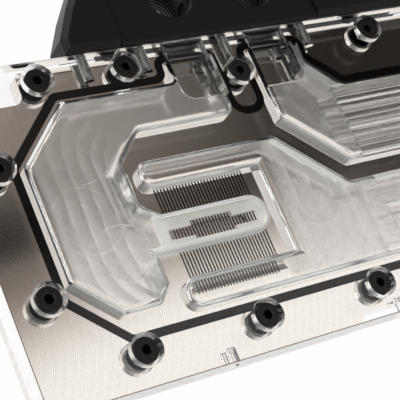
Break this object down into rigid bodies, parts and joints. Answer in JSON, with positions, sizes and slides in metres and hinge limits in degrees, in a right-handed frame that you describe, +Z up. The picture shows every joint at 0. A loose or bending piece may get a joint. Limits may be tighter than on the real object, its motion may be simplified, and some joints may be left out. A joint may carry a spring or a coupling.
{
  "type": "gpu water block",
  "caption": "Full-cover liquid cooling block: nickel-plated cold plate, clear top with milled flow pockets, black terminal with two threaded ports.",
  "frame": {"origin": "centre of the overall footprint, in the plane of the standoffs' lower ends", "axes": "+X along the block from the end with the plate's cut corner, +Y from the edge with the light holes to the terminal, +Z up through the clear top"},
  "size_m": [0.215, 0.121, 0.0167],
  "materials": {
    "nickel_plate": "nickel plating, finely milled",
    "clear_acrylic": "polished faces, pockets frosted by the milling cutter",
    "gasket_rubber": "soft satin rubber",
    "black_steel": "black oxide",
    "stainless": "bright turned",
    "black_acetal": "milled, satin",
    "black_cover": "fine satin"
  },
  "bodies": {
    "root": {"cold_plate": "nickel_plate", "main_gasket": "gasket_rubber", "acrylic_top": "clear_acrylic", "jet_plate": "stainless", "terminal_body": "black_acetal", "left_cover": "black_cover", "right_cover": "black_cover", "channel_seal_1": "gasket_rubber", "channel_seal_2": "gasket_rubber", "top_screw_01": "black_steel", "top_screw_02": "black_steel", "top_screw_03": "black_steel", "top_screw_04": "black_steel", "top_screw_05": "black_steel", "top_screw_06": "black_steel", "top_screw_07": "black_steel", "top_screw_08": "black_steel", "top_screw_09": "black_steel", "top_screw_10": "black_steel", "top_screw_11": "black_steel", "top_screw_12": "black_steel", "top_screw_13": "black_steel", "top_screw_14": "black_steel", "terminal_screw_1": "stainless", "terminal_screw_2": "stainless", "terminal_screw_3": "stainless", "terminal_screw_4": "stainless"}
  },
  "joints": []
}
